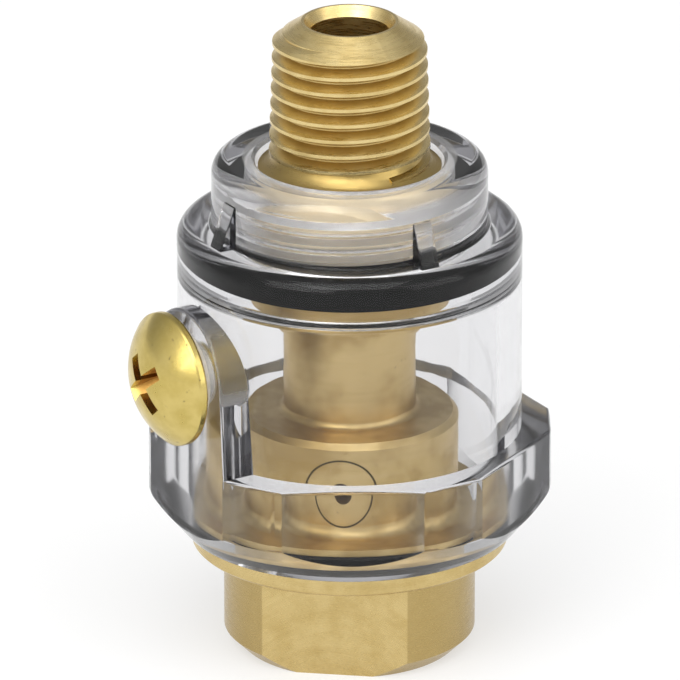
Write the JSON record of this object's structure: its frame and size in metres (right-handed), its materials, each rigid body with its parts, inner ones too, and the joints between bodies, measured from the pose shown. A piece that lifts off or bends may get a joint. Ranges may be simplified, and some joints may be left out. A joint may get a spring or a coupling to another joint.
{
  "type": "air line lubricator",
  "caption": "Small in-line air lubricator: brass body with female inlet and tapered male outlet, clear oil bowl screwed round its stem, and a fill screw in the bowl's side.",
  "frame": {"origin": "middle of the inlet port's mouth, in the bottom face of the brass body", "axes": "+Z along the air passage, from the inlet to the outlet; the fill screw points along -Y"},
  "size_m": [0.035, 0.0375, 0.0574],
  "materials": {
    "satin_brass": "satin turned",
    "polished_brass": "bright plated",
    "clear_plastic": "clear gloss",
    "black_rubber": "smooth",
    "pale_nylon": "waxy",
    "felt": "soaked felt"
  },
  "bodies": {
    "fitting": {"brass_body": "satin_brass", "upper_seal": "black_rubber", "metering_plug": "satin_brass", "metering_wick": "felt"},
    "bowl_seal": {"base_seal": "black_rubber"},
    "bowl": {"oil_bowl": "clear_plastic"},
    "screw_seal": {"fill_seal": "pale_nylon"},
    "screw": {"fill_screw": "polished_brass"}
  },
  "joints": [
    {"name": "bowl_unscrews", "type": "hinge", "parent": "fitting", "child": "bowl_seal", "pos_m": [0, 0, 0.0112], "axis": [0, 0, 1], "range_deg": [0, 1080]},
    {"name": "bowl_lifts", "type": "slide", "parent": "bowl_seal", "child": "bowl", "axis": [0, 0, 1], "range_m": [0, 0.0045]},
    {"name": "screw_backs_out", "type": "slide", "parent": "bowl", "child": "screw_seal", "axis": [0, -1, 0], "range_m": [0, 0.0044]},
    {"name": "screw_unscrews", "type": "hinge", "parent": "screw_seal", "child": "screw", "pos_m": [0, -0.0176, 0.02795], "axis": [0, -1, 0], "range_deg": [0, 1980]}
  ],
  "couplings": [
    {"joint": "bowl_lifts", "follows": "bowl_unscrews", "m_per_rad": 0.00023873},
    {"joint": "screw_unscrews", "follows": "screw_backs_out", "rad_per_m": 7854}
  ]
}
